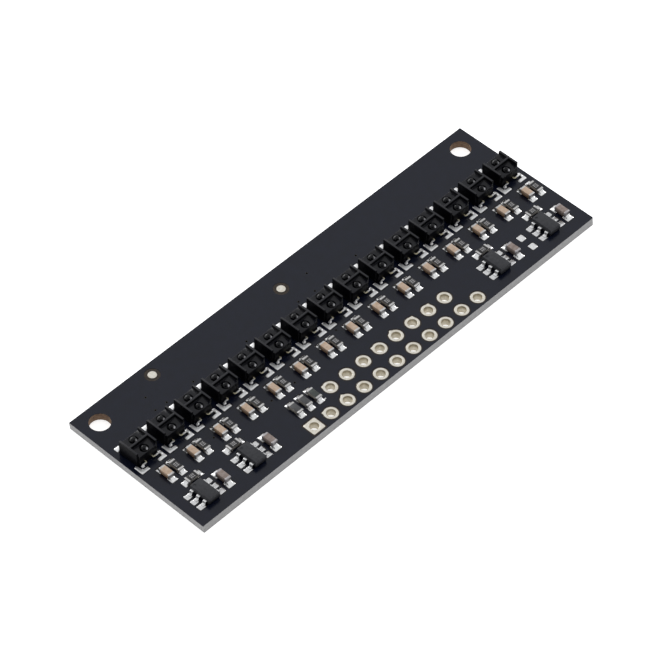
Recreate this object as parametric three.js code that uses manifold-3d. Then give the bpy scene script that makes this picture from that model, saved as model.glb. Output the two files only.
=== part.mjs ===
// Reflectance (line) sensor array board: a bare circuit board with a row of
// fifteen two-window reflective sensors, the chip parts that belong to each
// sensor, four six-lead emitter driver chips with their own chip parts, and a
// two-row pattern of header holes.
//
// Millimetres. +X along the board's length, +Y towards the edge that carries
// the two mounting holes, +Z out of the populated face. The origin is the
// centre of the outline on the underside. Every mounted part is modelled with
// z = 0 on the board's top face.

import * as THREE from 'three';
import { mergeVertices } from 'three/addons/utils/BufferGeometryUtils.js';
import Module from 'manifold-3d';

const wasm = await Module();
wasm.setup();

// ------------------------------------------------------------ solid helpers

function toManifold(geometry) {
  const bare = geometry.clone();
  bare.deleteAttribute('normal');
  bare.deleteAttribute('uv');
  const merged = mergeVertices(bare, 1e-5);
  const mesh = new wasm.Mesh({
    numProp: 3,
    vertProperties: new Float32Array(merged.attributes.position.array),
    triVerts: new Uint32Array(merged.index.array),
  });
  return new wasm.Manifold(mesh);
}

// flat-shaded geometry of a solid that carries positions only
function toGeometry(solid) {
  const mesh = solid.getMesh();
  const indexed = new THREE.BufferGeometry();
  const positions = new Float32Array(mesh.vertProperties);
  indexed.setAttribute('position', new THREE.BufferAttribute(positions, 3));
  indexed.setIndex(new THREE.BufferAttribute(new Uint32Array(mesh.triVerts), 1));
  const flat = indexed.toNonIndexed();
  flat.computeVertexNormals();
  return flat;
}

function join(geometries) {
  const [first, ...rest] = geometries.map(toManifold);
  return rest.reduce((solid, next) => solid.add(next), first);
}

// box between two limits on each axis, given in either order
function box([xa, xb], [ya, yb], [za, zb]) {
  const geometry = new THREE.BoxGeometry(Math.abs(xb - xa), Math.abs(yb - ya), Math.abs(zb - za));
  return geometry.translate((xa + xb) / 2, (ya + yb) / 2, (za + zb) / 2);
}

// closed block through stacked rectangles: [z, half size in X, half size in Y]
function stackedBlock(levels) {
  const positions = [];
  for (const [z, halfX, halfY] of levels) {
    positions.push(-halfX, -halfY, z, halfX, -halfY, z, halfX, halfY, z, -halfX, halfY, z);
  }
  const last = 4 * (levels.length - 1); // first corner of the top rectangle
  const triangles = [0, 2, 1, 0, 3, 2, last, last + 1, last + 2, last, last + 2, last + 3];
  for (let base = 0; base < last; base += 4) {
    for (let k = 0; k < 4; k++) {
      const here = base + k;
      const next = base + ((k + 1) % 4);
      triangles.push(here, next, next + 4, here, next + 4, here + 4);
    }
  }
  const geometry = new THREE.BufferGeometry();
  geometry.setAttribute('position', new THREE.Float32BufferAttribute(positions, 3));
  geometry.setIndex(triangles);
  return geometry;
}

// outline of [x, z] points, extruded along Y and centred on y
function extrudeAlongY(outline, width, y) {
  const shape = new THREE.Shape(outline.map(([x, z]) => new THREE.Vector2(x, z)));
  const geometry = new THREE.ExtrudeGeometry(shape, { depth: width, bevelEnabled: false });
  geometry.rotateX(Math.PI / 2); // outline up, depth along -Y
  return geometry.translate(0, y + width / 2, 0);
}

// place of item i in an evenly pitched row centred on 0
const inRow = (i, count, pitch) => (i - (count - 1) / 2) * pitch;

// -------------------------------------------------------------------- board

const BOARD_LENGTH = 60.65;
const BOARD_WIDTH = 19.9;
const BOARD_THICKNESS = 1.0;
const CORNER_R = 0.15; // the one rounded corner, +X -Y
const CORNER_STEPS = 4;

const MOUNT_HOLE = { diameter: 2.4, segments: 36 };
const MOUNT_HOLE_X = 27.95; // either side of the centre
const MOUNT_HOLE_Y = 7.68;

// header holes on the standard 0.1 inch grid
const HEADER_HOLE = { diameter: 1.02, segments: 24 };
const HEADER_PITCH = 2.54;
const HEADER_COUNT = 11; // in the outer row, next to the -Y edge
const OUTER_ROW_Y = -8.8;
const INNER_ROW_Y = OUTER_ROW_Y + HEADER_PITCH;
const INNER_ROW_FIRST = 2; // outer-row index of the inner row's first hole
const INNER_ROW_LAST = 9;

function holePath(x, y, { diameter, segments }) {
  const radius = diameter / 2;
  const points = Array.from({ length: segments }, (_, i) => {
    const angle = (-2 * Math.PI * i) / segments;
    return new THREE.Vector2(x + radius * Math.cos(angle), y + radius * Math.sin(angle));
  });
  const path = new THREE.Path(points);
  path.closePath();
  return path;
}

function boardOutline() {
  const halfX = BOARD_LENGTH / 2;
  const halfY = BOARD_WIDTH / 2;
  const shape = new THREE.Shape();
  shape.moveTo(-halfX, -halfY);
  for (let i = 0; i <= CORNER_STEPS; i++) {
    const angle = -Math.PI / 2 + (i * Math.PI) / (2 * CORNER_STEPS);
    shape.lineTo(
      halfX - CORNER_R + CORNER_R * Math.cos(angle),
      -halfY + CORNER_R + CORNER_R * Math.sin(angle)
    );
  }
  shape.lineTo(halfX, halfY);
  shape.lineTo(-halfX, halfY);
  shape.closePath();
  return shape;
}

function boardGeometry() {
  const shape = boardOutline();
  for (const side of [-1, 1]) {
    shape.holes.push(holePath(side * MOUNT_HOLE_X, MOUNT_HOLE_Y, MOUNT_HOLE));
  }
  for (let i = 0; i < HEADER_COUNT; i++) {
    const x = inRow(i, HEADER_COUNT, HEADER_PITCH);
    shape.holes.push(holePath(x, OUTER_ROW_Y, HEADER_HOLE));
    if (i >= INNER_ROW_FIRST && i <= INNER_ROW_LAST) {
      shape.holes.push(holePath(x, INNER_ROW_Y, HEADER_HOLE));
    }
  }
  return new THREE.ExtrudeGeometry(shape, { depth: BOARD_THICKNESS, bevelEnabled: false });
}

// ------------------------------------------------------------------- sensor

const SENSOR_STANDOFF = 0.05; // underside of the moulding above the board
const SENSOR_FLOOR_H = 1.43; // well floor
const SENSOR_TOP_H = 1.87; // top of the walls and the divider
const SENSOR_EMBED = 0.2; // how far divider and lenses run down into the block

const BLOCK_W = 2.4;
const BLOCK_Y0 = -1.4;
const BLOCK_Y1 = 1.46;

const SENSOR_W = 2.96; // over the side walls
const WALL_T = 0.3;
const WALL_Y0 = -1.18; // the walls stop short of the block's -Y end
const WALL_Y1 = BLOCK_Y1;

const DIVIDER_Y0 = -0.05;
const DIVIDER_Y1 = 0.19;
const DIVIDER_OVERLAP = 0.05; // past the block's sides, into the walls

const LENS_OFFSET_Y = 0.78; // each lens from the sensor's centre
const LENS_R = 0.54;
const LENS_H = 0.28;
const LENS_RIM_H = 0.05;
const LENS_SHOULDER_R = LENS_R * 0.74;
const LENS_SHOULDER_H = LENS_H * 0.72;
const LENS_SEGMENTS = 14;

// leads lie symmetrically about the sensor's centre, measured from the -Y end
const LEAD_X = [0.45, 1.42];
const LEAD_EMBED = 0.3;
const LEAD_REACH = 0.28;
const LEAD_Y = [-BLOCK_Y0 - LEAD_EMBED, -BLOCK_Y0 + LEAD_REACH];
const LEAD_T = 0.16;

function lensGeometry(y) {
  // [radius, height above the well floor]
  const profile = [
    [0, -SENSOR_EMBED],
    [LENS_R, -SENSOR_EMBED],
    [LENS_R, LENS_RIM_H],
    [LENS_SHOULDER_R, LENS_SHOULDER_H],
    [0, LENS_H],
  ].map(([radius, height]) => new THREE.Vector2(radius, height));
  const lens = new THREE.LatheGeometry(profile, LENS_SEGMENTS);
  lens.rotateX(Math.PI / 2); // axis from Y to Z
  return lens.translate(0, y, SENSOR_FLOOR_H);
}

// moulded block with a well at each end, an upright wall on each side, a
// divider across the middle, a domed lens on each well floor and four leads
function sensorGeometry() {
  const blockX = BLOCK_W / 2;
  const wallX = SENSOR_W / 2;
  const dividerX = blockX + DIVIDER_OVERLAP;
  const parts = [
    box([-blockX, blockX], [BLOCK_Y0, BLOCK_Y1], [SENSOR_STANDOFF, SENSOR_FLOOR_H]),
  ];
  for (const side of [-1, 1]) {
    const wallSpan = [side * wallX, side * (wallX - WALL_T)];
    parts.push(box(wallSpan, [WALL_Y0, WALL_Y1], [SENSOR_STANDOFF, SENSOR_TOP_H]));
  }
  const dividerZ = [SENSOR_FLOOR_H - SENSOR_EMBED, SENSOR_TOP_H];
  parts.push(box([-dividerX, dividerX], [DIVIDER_Y0, DIVIDER_Y1], dividerZ));
  for (const end of [-1, 1]) {
    parts.push(lensGeometry(end * LENS_OFFSET_Y));
    for (const side of [-1, 1]) {
      parts.push(box(LEAD_X.map((x) => side * x), LEAD_Y.map((y) => end * y), [0, LEAD_T]));
    }
  }
  return toGeometry(join(parts));
}

// --------------------------------------------------------------- 0603 chips

const CHIP_L = 1.6;
const CHIP_W = 0.8;
const CHIP_BAND = 0.3; // length of each end band
const CHIP_RELIEF = 0.02; // bands stand proud of the body
const CHIP_BODY_INSET = 0.1; // body ends inside the bands

const CELL_CAP_H = 0.72;
const BULK_CAP_H = 0.8;
const RESISTOR_H = 0.45;
const HEADER_CHIP_H = 0.5;

// two-terminal chip lying along Y: body with a metal band round each end
function chipGeometry(height) {
  const halfX = CHIP_W / 2;
  const halfY = CHIP_L / 2;
  const bodyX = halfX - CHIP_RELIEF;
  const bodyY = halfY - CHIP_BODY_INSET;
  const parts = [box([-bodyX, bodyX], [-bodyY, bodyY], [CHIP_RELIEF, height - CHIP_RELIEF])];
  for (const end of [-1, 1]) {
    parts.push(box([-halfX, halfX], [end * halfY, end * (halfY - CHIP_BAND)], [0, height]));
  }
  return toGeometry(join(parts));
}

// -------------------------------------------------------------- driver chip

const DRIVER_W = 1.6;
const DRIVER_L = 2.9;
const DRIVER_Z0 = 0.05;
const DRIVER_Z1 = 0.88;
const DRIVER_TAPER = 0.06; // each side draws in by this at top and bottom
const DRIVER_BAND_H = 0.15; // upright band at mid height

// round dimple in the top, near the -X +Y corner
const DOT_R = 0.17;
const DOT_DEPTH = 0.04;
const DOT_CUTTER_H = 0.2;
const DOT_SEGMENTS = 12;
const DOT_INSET_X = 0.38;
const DOT_INSET_Y = 0.42;

const PIN_SPAN = 2.8; // over the lead tips
const PIN_W = 0.42;
const PIN_T = 0.15;
const PIN_PITCH = 0.95;

function driverBody(middleZ) {
  const halfX = DRIVER_W / 2;
  const halfY = DRIVER_L / 2;
  const body = stackedBlock([
    [DRIVER_Z0, halfX - DRIVER_TAPER, halfY - DRIVER_TAPER],
    [middleZ - DRIVER_BAND_H / 2, halfX, halfY],
    [middleZ + DRIVER_BAND_H / 2, halfX, halfY],
    [DRIVER_Z1, halfX - DRIVER_TAPER, halfY - DRIVER_TAPER],
  ]);
  const dot = new THREE.CylinderGeometry(DOT_R, DOT_R, DOT_CUTTER_H, DOT_SEGMENTS);
  dot.rotateX(Math.PI / 2);
  dot.translate(
    -halfX + DOT_INSET_X,
    halfY - DOT_INSET_Y,
    DRIVER_Z1 - DOT_DEPTH + DOT_CUTTER_H / 2
  );
  return toManifold(body).subtract(toManifold(dot));
}

// six-lead chip, long side along Y, three bent leads on each side
function driverGeometry() {
  const middleZ = (DRIVER_Z0 + DRIVER_Z1) / 2;
  const rootZ = middleZ - PIN_T / 2;
  const tipX = PIN_SPAN / 2;
  // side view of a lead, [x outwards, z]: along the underside, back over the top
  const pinOutline = [
    [0.6, rootZ],
    [0.92, rootZ],
    [1.02, 0],
    [tipX, 0],
    [tipX, PIN_T],
    [1.14, PIN_T],
    [1.04, rootZ + PIN_T],
    [0.6, rootZ + PIN_T],
  ];
  let solid = driverBody(middleZ);
  for (const side of [-1, 1]) {
    const outline = pinOutline.map(([x, z]) => [side * x, z]);
    for (const k of [-1, 0, 1]) {
      solid = solid.add(toManifold(extrudeAlongY(outline, PIN_W, k * PIN_PITCH)));
    }
  }
  return toGeometry(solid);
}

// ---------------------------------------------------------------- materials

const plain = (color, roughness) =>
  new THREE.MeshStandardMaterial({ color, roughness, metalness: 0 });

const materials = {
  board: plain(0x1b1d22, 0.45),
  sensor: plain(0x15161a, 0.5),
  ceramic: plain(0xb89a78, 0.55),
  bulk: plain(0x9a8478, 0.55),
  resistor: plain(0x222226, 0.4),
  chip: plain(0x3a3c40, 0.4),
  driver: plain(0x26272b, 0.6),
};

// ----------------------------------------------------------------- assembly

const SENSOR_COUNT = 15;
const SENSOR_PITCH = 4.0;
const SENSOR_Y = 1.74;

// the chips of one sensor cell, from the sensor's centre line
const CELL_CAP_DX = -0.18;
const CELL_RESISTOR_DX = 1.21;
const CELL_CHIP_Y = -2.4;
const CELL_CHIP_SHIFT = { 0: 0.12, 11: -0.12 }; // cell index: extra X for its chips

// one row per driver chip: [driver x, set resistor x]
const DRIVER_CELLS = [
  [-27.15, -26.61],
  [-20.29, -20.55],
  [17.61, 18.01],
  [25.66, 26.13],
];
const DRIVER_Y = -7.06;
const BULK_CAP_DX = 2.75; // from its driver chip
const BULK_CAP_Y = -7.02;
const SET_RESISTOR_Y = -4.68;

// chips beside the header
const HEADER_CHIP_X = [-12.5, -11.1];
const HEADER_CHIP_Y = -5.88;

const part = new THREE.Group();

function place(name, geometry, material, x, y, z = BOARD_THICKNESS) {
  const mesh = new THREE.Mesh(geometry, material);
  mesh.name = name;
  mesh.position.set(x, y, z);
  part.add(mesh);
}

function placeSensorCells() {
  const sensor = sensorGeometry();
  const capacitor = chipGeometry(CELL_CAP_H);
  const resistor = chipGeometry(RESISTOR_H);
  const { ceramic } = materials;
  for (let i = 0; i < SENSOR_COUNT; i++) {
    const number = String(i + 1).padStart(2, '0');
    const x = inRow(i, SENSOR_COUNT, SENSOR_PITCH);
    const chipX = x + (CELL_CHIP_SHIFT[i] ?? 0);
    const capX = chipX + CELL_CAP_DX;
    const resistorX = chipX + CELL_RESISTOR_DX;
    place(`sensor_${number}`, sensor, materials.sensor, x, SENSOR_Y);
    place(`sensor_capacitor_${number}`, capacitor, ceramic, capX, CELL_CHIP_Y);
    place(`sensor_resistor_${number}`, resistor, materials.resistor, resistorX, CELL_CHIP_Y);
  }
}

function placeDriverCells() {
  const driver = driverGeometry();
  const bulkCap = chipGeometry(BULK_CAP_H);
  const resistor = chipGeometry(RESISTOR_H).rotateZ(Math.PI / 2); // lies along X
  DRIVER_CELLS.forEach(([x, resistorX], i) => {
    const number = i + 1;
    place(`driver_ic_${number}`, driver, materials.driver, x, DRIVER_Y);
    place(`bulk_capacitor_${number}`, bulkCap, materials.bulk, x + BULK_CAP_DX, BULK_CAP_Y);
    place(`set_resistor_${number}`, resistor, materials.resistor, resistorX, SET_RESISTOR_Y);
  });
}

function placeHeaderChips() {
  const chip = chipGeometry(HEADER_CHIP_H);
  HEADER_CHIP_X.forEach((x, i) => {
    place(`header_chip_${i + 1}`, chip, materials.chip, x, HEADER_CHIP_Y);
  });
}

place('board', boardGeometry(), materials.board, 0, 0, 0);
placeSensorCells();
placeDriverCells();
placeHeaderChips();

export default part;
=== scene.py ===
"""A circuit board that carries a row of fifteen two-lens sensors.

The board lies flat with its length along X and its underside on the floor. Z is up.
-Y is the front edge, with two rows of plated header holes; +Y is the back edge, with a
mounting hole at each end. The sensors stand in a row along X, each with a capacitor and a
resistor. Shapes are built in millimetres; materials, lights and the camera are in metres.
"""

import math
import random
from functools import lru_cache

import bmesh
import bpy
import numpy as np
from mathutils import Matrix, Vector
from mathutils.geometry import delaunay_2d_cdt


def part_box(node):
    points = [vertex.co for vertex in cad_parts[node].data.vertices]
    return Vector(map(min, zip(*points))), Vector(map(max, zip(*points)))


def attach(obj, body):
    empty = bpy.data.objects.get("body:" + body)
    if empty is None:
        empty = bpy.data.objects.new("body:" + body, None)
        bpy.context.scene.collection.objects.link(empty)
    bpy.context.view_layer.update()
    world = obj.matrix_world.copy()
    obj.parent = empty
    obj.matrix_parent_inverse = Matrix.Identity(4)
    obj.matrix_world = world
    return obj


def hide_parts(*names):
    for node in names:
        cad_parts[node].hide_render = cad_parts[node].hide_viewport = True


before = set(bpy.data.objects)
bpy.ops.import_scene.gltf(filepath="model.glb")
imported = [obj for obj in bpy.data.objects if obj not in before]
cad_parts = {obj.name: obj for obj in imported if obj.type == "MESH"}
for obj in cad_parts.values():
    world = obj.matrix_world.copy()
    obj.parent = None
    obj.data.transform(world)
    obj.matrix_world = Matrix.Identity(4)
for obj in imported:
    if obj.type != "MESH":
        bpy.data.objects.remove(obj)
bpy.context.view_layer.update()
MM = 0.001
skew_random = random.Random(7)

# ------------------------------------------------------------------ dimensions
# Millimetres. The boxes of the CAD pieces give where each part sits.


def box_mm(name):
    """Low and high corner of a CAD piece."""
    low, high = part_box(name)
    return [v / MM for v in low], [v / MM for v in high]


def centre(name):
    """Centre of a CAD piece in plan."""
    low, high = box_mm(name)
    return (low[0] + high[0]) / 2, (low[1] + high[1]) / 2


def numbered(pattern, count):
    return [pattern % (i + 1) for i in range(count)]


BOARD_LOW, BOARD_HIGH = box_mm("board")
HALF_X, HALF_Y, TOP = BOARD_HIGH
BOTTOM = BOARD_LOW[2]
MASK = 0.022                      # thickness of the solder mask on each face
LAM_BOTTOM, LAM_TOP = BOTTOM + MASK, TOP - MASK
CORNER_R = 0.15                   # the front right corner, the only rounded one
MOUNT_X, MOUNT_Y, MOUNT_R = 27.95, 7.68, 1.2

# header holes: (x, y, tag), the tag giving the row and the column
PITCH = 2.54
FIRST_HOLE_X = -5 * PITCH
FRONT_Y = -8.8
BACK_Y = FRONT_Y + PITCH
BORE_R, PAD_R = 0.51, 0.83
HEADER_HOLES = [(FIRST_HOLE_X + PITCH * i, FRONT_Y, "f%d" % i) for i in range(11)]
HEADER_HOLES += [(FIRST_HOLE_X + PITCH * i, BACK_Y, "b%d" % i) for i in range(2, 10)]
SQUARE_PAD, SQUARE_HALF = "f0", 0.865
# direction in degrees of the short trace stub on some pads of the top face
STUBS = {"f1": 135, "f2": 90, "b2": 135, "b5": 135, "b6": 90, "b7": 45, "b8": 45}
STUB_LENGTH, STUB_HALF_ANGLE = 0.16, 0.30

# small features: (x, y)
FIDUCIALS = [(-19.51, 8.46), (-1.17, 7.29)]
FIDUCIAL_R = 0.5
VIAS = [(-22.73, 4.7), (-21.14, 4.62), (-17.17, 4.65), (-9.2, 4.62), (-1.23, 4.62),
        (1.14, 4.44), (8.0, 4.88), (2.39, 6.88), (-22.23, 6.7), (-21.13, -2.37),
        (-13.3, -3.14), (-9.8, -3.14), (-1.36, -1.12)]
VIA_R = 0.15
EMPTY_LANDS = [(22.48, -6.35), (22.48, -8.05)]

SENSORS = numbered("sensor_%02d", 15)
CAPACITORS = numbered("sensor_capacitor_%02d", 15)
RESISTORS = numbered("sensor_resistor_%02d", 15)
DRIVERS = numbered("driver_ic_%d", 4)
BULK_CAPACITORS = numbered("bulk_capacitor_%d", 4)
SET_RESISTORS = numbered("set_resistor_%d", 4)
HEADER_CHIPS = numbered("header_chip_%d", 2)
THIRD_CHIP = (-9.7, -5.88)

# two-ended chips and their lands, as half sizes
CHIP_HALF_LEN, CHIP_HALF_W = 0.8, 0.4
LAND_INNER, LAND_OUTER, LAND_HALF_W = 0.45, 1.28, 0.43
SET_LAND_OUTER = 1.31
BULK_LAND_OUTER, BULK_LAND_HALF_W, BULK_SOLDER_HALF_W = 1.36, 0.52, 0.50
LIFT = 0.03                       # chips stand on a film of solder

# driver leads, three on each X side
DRIVER_PITCH = 0.95
DRIVER_LAND_IN, DRIVER_LAND_OUT, DRIVER_LAND_HALF_W = 1.02, 1.87, 0.335

# Sensor lands, measured outwards from the sensor centre: u along X, w along Y.
# Four to a sensor: (X side, Y side, outer end in w)
SENSOR_LANDS = [(sx, sy, w_end) for sy, w_end in ((-1, 2.37), (1, 2.27)) for sx in (-1, 1)]
# A front land is an L: a bar across its outer end and a leg on the side away from the centre. Mask
# covers the inner back corner of the land, under the lead, standing in for the shade there: painted
# shade.
# By X side: u where the bar starts, u of the outer edge, w where the leg starts, u of the
# leg's inner edge
L_LAND = {-1: (0.66, 1.83, 1.11, 1.40), 1: (0.69, 1.77, 1.22, 1.42)}
L_BAR_W = 0.43
L_CORNER = 0.15                   # cut across the inner corner
BACK_LAND_U0, BACK_LAND_U1, BACK_LAND_W0 = 0.76, 1.52, 1.60

# ------------------------------------------------------------------- materials

materials = {}


def noise(tree, coord, scale, detail, roughness=0.5):
    node = tree.nodes.new("ShaderNodeTexNoise")
    node.inputs["Scale"].default_value = scale
    node.inputs["Detail"].default_value = detail
    node.inputs["Roughness"].default_value = roughness
    tree.links.new(coord, node.inputs["Vector"])
    return node.outputs["Fac"]


def map_range(tree, value, smooth=False, **ends):
    """Map Range node; ends are from_min, from_max, to_min and to_max."""
    node = tree.nodes.new("ShaderNodeMapRange")
    if smooth:
        node.interpolation_type = "SMOOTHSTEP"
    for end, number in ends.items():
        node.inputs[end.replace("_", " ").title()].default_value = number
    tree.links.new(value, node.inputs["Value"])
    return node.outputs["Result"]


def mix_colour(tree, factor, low, high):
    """Blend from low to high; each is a socket or a fixed colour."""
    node = tree.nodes.new("ShaderNodeMix")
    node.data_type = "RGBA"
    tree.links.new(factor, node.inputs["Factor"])
    for index, colour in ((6, low), (7, high)):
        if isinstance(colour, tuple):
            node.inputs[index].default_value = (*colour, 1)
        else:
            tree.links.new(colour, node.inputs[index])
    return node.outputs[2]


def dot_with(tree, vector, direction):
    node = tree.nodes.new("ShaderNodeVectorMath")
    node.operation = "DOT_PRODUCT"
    node.inputs[1].default_value = Vector(direction).normalized()
    tree.links.new(vector, node.inputs[0])
    return node.outputs["Value"]


FOOT_SHADE_FULL_Z = 0.00100               # height in metres where the painted shade at the foot is full


def material(name, base, dark, light, scale, rough, rough_var=None, metal=0.0, specular=0.5,
             specks=None, bump=None, streak=None, foot_shade=None):
    """Mottled material running from dark through base to light.

    scale      size of the mottling; higher is finer
    rough_var  swing of the roughness either way. Small parts have none: their grain is
               finer than any view of them shows
    specks     finer spots: scale, amount, tint
    bump       surface grain: strength, scale, distance in metres
    streak     stretch of the texture space in X, Y, Z
    foot_shade painted shade, darker towards the foot of the part: height where it ends, tint
    """
    mat = bpy.data.materials.new(name)
    mat.use_nodes = True
    tree = mat.node_tree
    tree.nodes.clear()
    output = tree.nodes.new("ShaderNodeOutputMaterial")
    bsdf = tree.nodes.new("ShaderNodeBsdfPrincipled")
    tree.links.new(bsdf.outputs[0], output.inputs[0])
    bsdf.inputs["Metallic"].default_value = metal
    bsdf.inputs["Specular IOR Level"].default_value = specular
    bsdf.inputs["Coat Roughness"].default_value = 0.12

    place = tree.nodes.new("ShaderNodeTexCoord").outputs["Object"]
    coord = place
    if streak:
        mapping = tree.nodes.new("ShaderNodeMapping")
        mapping.inputs["Scale"].default_value = streak
        tree.links.new(place, mapping.inputs["Vector"])
        coord = mapping.outputs["Vector"]

    mottle = noise(tree, coord, scale, detail=5.0, roughness=0.6)
    ramp = tree.nodes.new("ShaderNodeValToRGB")
    stops = ramp.color_ramp.elements
    stops[0].position, stops[0].color = 0.30, (*dark, 1)
    stops[1].position, stops[1].color = 0.70, (*light, 1)
    stops.new(0.5).color = (*base, 1)
    tree.links.new(mottle, ramp.inputs["Fac"])
    colour = ramp.outputs["Color"]
    if specks:
        spots = noise(tree, coord, specks["scale"], detail=3.0)
        amount = map_range(tree, spots, from_min=0.52, from_max=0.72, to_max=specks["amount"])
        colour = mix_colour(tree, amount, colour, specks["tint"])
    # painted shade: the colour darkens towards the foot of the part
    if foot_shade:
        split = tree.nodes.new("ShaderNodeSeparateXYZ")
        tree.links.new(place, split.inputs[0])
        unshaded = map_range(tree, split.outputs["Z"], smooth=True,
                          from_min=FOOT_SHADE_FULL_Z, from_max=foot_shade["top"])
        colour = mix_colour(tree, unshaded, foot_shade["tint"], colour)
    tree.links.new(colour, bsdf.inputs["Base Color"])

    if rough_var is None:
        bsdf.inputs["Roughness"].default_value = rough
    else:
        wear = noise(tree, coord, scale * 2.3, detail=4.0)
        wear = map_range(tree, wear, from_min=0.3, from_max=0.7,
                         to_min=rough - rough_var, to_max=rough + rough_var)
        tree.links.new(wear, bsdf.inputs["Roughness"])
    if bump:
        grain = noise(tree, coord, bump["scale"], detail=4.0)
        relief = tree.nodes.new("ShaderNodeBump")
        relief.inputs["Strength"].default_value = bump["strength"]
        relief.inputs["Distance"].default_value = bump["distance"]
        tree.links.new(grain, relief.inputs["Height"])
        tree.links.new(relief.outputs["Normal"], bsdf.inputs["Normal"])
    materials[name] = mat


# board
material("solder_mask", base=(0.0022, 0.0040, 0.0135), dark=(0.0016, 0.0030, 0.0105),
         light=(0.0032, 0.0052, 0.0165), scale=900, rough=0.22, rough_var=0.04, specular=0.37,
         specks=dict(scale=16000, amount=0.25, tint=(0.007, 0.008, 0.014)),
         bump=dict(strength=0.10, scale=5200, distance=0.000004))
material("laminate_edge", base=(0.352, 0.348, 0.350), dark=(0.255, 0.252, 0.253),
         light=(0.44, 0.435, 0.437), scale=2600, rough=0.78, rough_var=0.1,
         specks=dict(scale=14000, amount=0.5, tint=(0.20, 0.19, 0.17)),
         bump=dict(strength=0.6, scale=9000, distance=0.00002), streak=(1, 1, 7))
material("laminate_bore", base=(0.20, 0.118, 0.066), dark=(0.115, 0.068, 0.040),
         light=(0.29, 0.19, 0.115), scale=2400, rough=0.7, rough_var=0.1,
         specks=dict(scale=9000, amount=0.5, tint=(0.13, 0.08, 0.05)),
         bump=dict(strength=0.6, scale=9000, distance=0.00002), streak=(1, 1, 3))
material("laminate_in_mask_opening", base=(0.034, 0.024, 0.017), dark=(0.02, 0.014, 0.010),
         light=(0.055, 0.040, 0.029), scale=5000, rough=0.6, rough_var=0.08, specular=0.3)

# solder and plating
material("solder", base=(0.88, 0.88, 0.88), dark=(0.78, 0.785, 0.79), light=(0.94, 0.94, 0.94),
         scale=3800, rough=0.25, metal=1.0,
         specks=dict(scale=26000, amount=0.25, tint=(0.60, 0.60, 0.60)))
material("soft_solder", base=(0.92, 0.92, 0.925), dark=(0.84, 0.84, 0.845),
         light=(0.96, 0.96, 0.96), scale=3800, rough=0.40, metal=1.0,
         specks=dict(scale=26000, amount=0.25, tint=(0.66, 0.66, 0.66)))
material("soft_gold", base=(0.97, 0.91, 0.68), dark=(0.90, 0.80, 0.52), light=(0.99, 0.96, 0.82),
         scale=4200, rough=0.45, metal=1.0)
material("soft_tin", base=(0.95, 0.94, 0.93), dark=(0.86, 0.85, 0.84), light=(0.98, 0.98, 0.97),
         scale=5200, rough=0.44, metal=1.0,
         specks=dict(scale=18000, amount=0.25, tint=(0.70, 0.70, 0.70)))
material("thin_solder", base=(0.76, 0.76, 0.765), dark=(0.66, 0.66, 0.665),
         light=(0.84, 0.84, 0.845), scale=3800, rough=0.26, metal=1.0,
         specks=dict(scale=26000, amount=0.3, tint=(0.48, 0.48, 0.48)))
# the tinned ends are painted darker towards the foot, as painted shade
material("tinned_metal", base=(0.62, 0.61, 0.605), dark=(0.50, 0.495, 0.485),
         light=(0.74, 0.735, 0.73), scale=5200, rough=0.34, metal=1.0,
         specks=dict(scale=18000, amount=0.35, tint=(0.5, 0.49, 0.47)),
         foot_shade=dict(top=0.00142, tint=(0.30, 0.28, 0.26)))
material("plated_pad", base=(0.83, 0.79, 0.70), dark=(0.74, 0.69, 0.59), light=(0.90, 0.87, 0.80),
         scale=2600, rough=0.33, rough_var=0.08, metal=1.0,
         specks=dict(scale=12000, amount=0.25, tint=(0.66, 0.60, 0.48)),
         bump=dict(strength=0.2, scale=9000, distance=0.00001))
material("lead_tin", base=(0.78, 0.78, 0.785), dark=(0.68, 0.68, 0.685), light=(0.86, 0.86, 0.86),
         scale=5200, rough=0.27, metal=1.0,
         specks=dict(scale=18000, amount=0.3, tint=(0.55, 0.55, 0.55)))
material("dull_tin", base=(0.46, 0.44, 0.45), dark=(0.37, 0.35, 0.36), light=(0.55, 0.53, 0.54),
         scale=5200, rough=0.44, metal=1.0,
         specks=dict(scale=18000, amount=0.35, tint=(0.36, 0.34, 0.34)))
# the barrel plating is the pad plating painted darker, as painted shade inside the holes
material("plated_barrel_shaded", base=(0.56, 0.515, 0.42), dark=(0.46, 0.42, 0.33),
         light=(0.66, 0.615, 0.52), scale=2600, rough=0.34, rough_var=0.08, metal=1.0,
         specks=dict(scale=12000, amount=0.3, tint=(0.40, 0.36, 0.27)),
         bump=dict(strength=0.25, scale=9000, distance=0.00001))

# sensors
# one black plastic in three copies: the wall tops painted lighter as painted light, the well floors
# darker and the upright faces darker still as painted shade
material("sensor_housing_side", base=(0.0010, 0.0010, 0.0021), dark=(0.0006, 0.0006, 0.0013),
         light=(0.0018, 0.0018, 0.0034), scale=3000, rough=0.47, specular=0.09,
         specks=dict(scale=20000, amount=0.4, tint=(0.003, 0.003, 0.006)))
material("sensor_housing", base=(0.0014, 0.0016, 0.0048), dark=(0.0009, 0.0010, 0.0032),
         light=(0.0024, 0.0026, 0.0068), scale=3000, rough=0.25, specular=0.33,
         specks=dict(scale=20000, amount=0.4, tint=(0.004, 0.004, 0.009)))
material("sensor_housing_rim", base=(0.0062, 0.0062, 0.0104), dark=(0.0040, 0.0040, 0.0070),
         light=(0.0100, 0.0100, 0.0150), scale=5200, rough=0.46, specular=0.42,
         specks=dict(scale=20000, amount=0.5, tint=(0.018, 0.018, 0.021)))
material("sensor_lens", base=(0.0018, 0.0018, 0.0034), dark=(0.0010, 0.0010, 0.002),
         light=(0.0032, 0.0032, 0.0052), scale=2500, rough=0.09, specular=0.23)


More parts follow.
